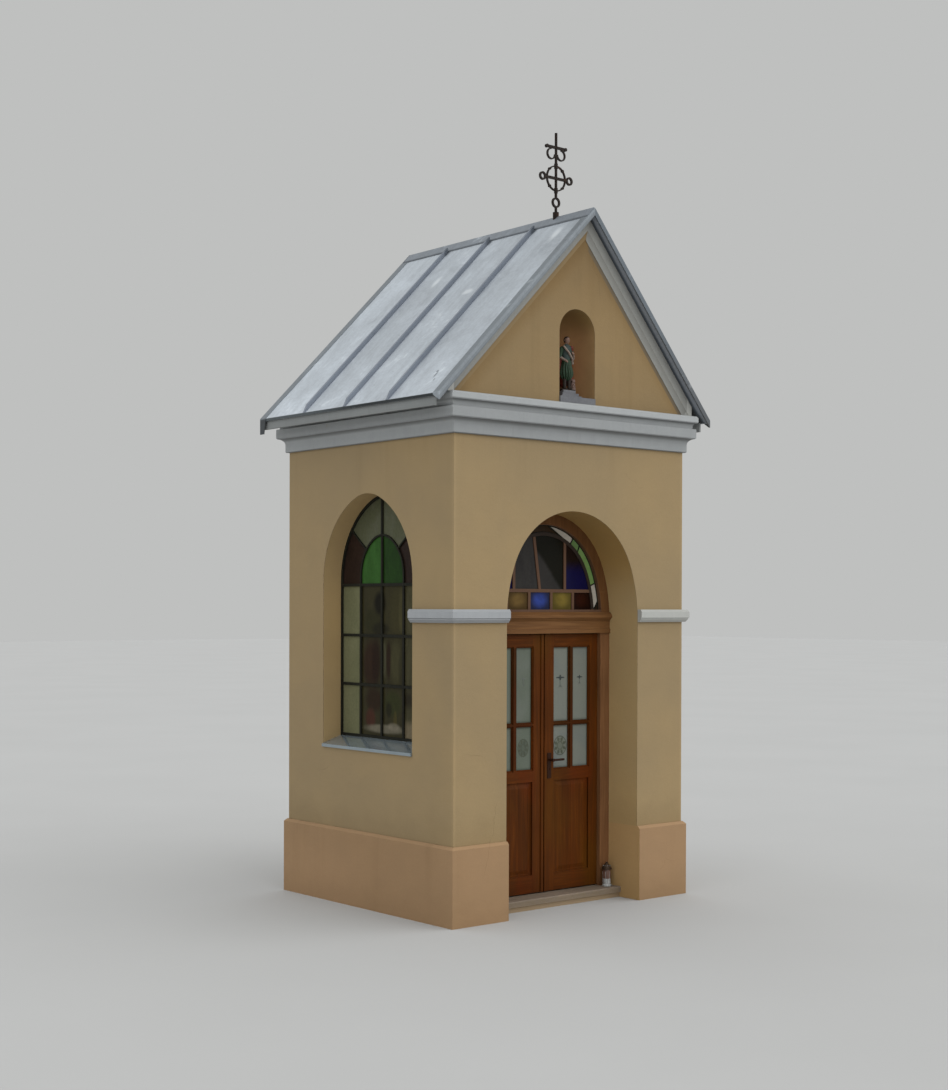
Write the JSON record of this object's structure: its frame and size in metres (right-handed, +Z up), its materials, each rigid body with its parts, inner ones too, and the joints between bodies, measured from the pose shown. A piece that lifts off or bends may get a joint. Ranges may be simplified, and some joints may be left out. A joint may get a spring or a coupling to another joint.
{
  "type": "wayside shrine",
  "caption": "Small masonry wayside shrine with a gabled sheet-metal roof, arched doorway with glazed double door, arched side windows, gable niche and ridge cross.",
  "frame": {"origin": "centre of the plan at ground level, under the middle of the roof's outline", "axes": "+Z up, the door faces -Y, +X to the right of someone who faces the building's back from the door"},
  "size_m": [2.84, 2.348, 6.068],
  "materials": {
    "plaster": "matte",
    "plinth": "matte",
    "trim": "matte",
    "stone": "matte",
    "sheet": "satin",
    "flashing": "satin",
    "boards": "matte",
    "door": "gloss",
    "door_frame": "satin",
    "glass": "frosted",
    "stained_glass": "gloss",
    "iron": "satin",
    "window_bars": "satin",
    "sill": "gloss",
    "figure": "satin",
    "lantern": "gloss"
  },
  "bodies": {
    "building": {"plinth_front_left": "plinth", "plinth_front_right": "plinth", "plinth_left": "plinth", "plinth_right": "plinth", "plinth_back": "plinth", "floor_slab": "stone", "threshold_slab": "stone", "front_pier_left": "plaster", "front_pier_right": "plaster", "front_arch_wall": "plaster", "left_wall": "plaster", "right_wall": "plaster", "back_wall": "plaster", "cornice_front": "trim", "cornice_back": "trim", "cornice_left": "trim", "cornice_right": "trim", "string_course_left": "trim", "string_course_right": "trim", "raking_cornice_front": "trim", "raking_cornice_back": "trim", "roof_boards_left": "boards", "roof_boards_right": "boards", "roof_sheet_left": "sheet", "roof_sheet_right": "sheet", "ridge_cap": "flashing", "verge_front": "flashing", "verge_back": "flashing", "ridge_cross": "iron", "niche_sill": "trim", "niche_figure": "figure", "door_jamb_left": "door_frame", "door_jamb_right": "door_frame", "door_transom": "door_frame", "fanlight_frame": "door_frame", "fanlight_glass": "stained_glass", "door_hinges": "iron", "window_frame_left": "window_bars", "window_frame_right": "window_bars", "window_glass_left": "stained_glass", "window_glass_right": "stained_glass", "window_sill_left": "sill", "window_sill_right": "sill", "votive_lantern": "lantern"},
    "door_left": {"door_leaf_left": "door", "door_glass_left": "glass"},
    "door_right": {"door_leaf_right": "door", "door_glass_right": "glass", "door_handle": "iron"}
  },
  "joints": [
    {"name": "door_left_hinge", "type": "hinge", "parent": "building", "child": "door_left", "pos_m": [-0.591, -0.668, 0.4], "axis": [0, 0, 1], "range_deg": [0, 95]},
    {"name": "door_right_hinge", "type": "hinge", "parent": "building", "child": "door_right", "pos_m": [0.591, -0.668, 0.4], "axis": [0, 0, -1], "range_deg": [0, 95]}
  ]
}
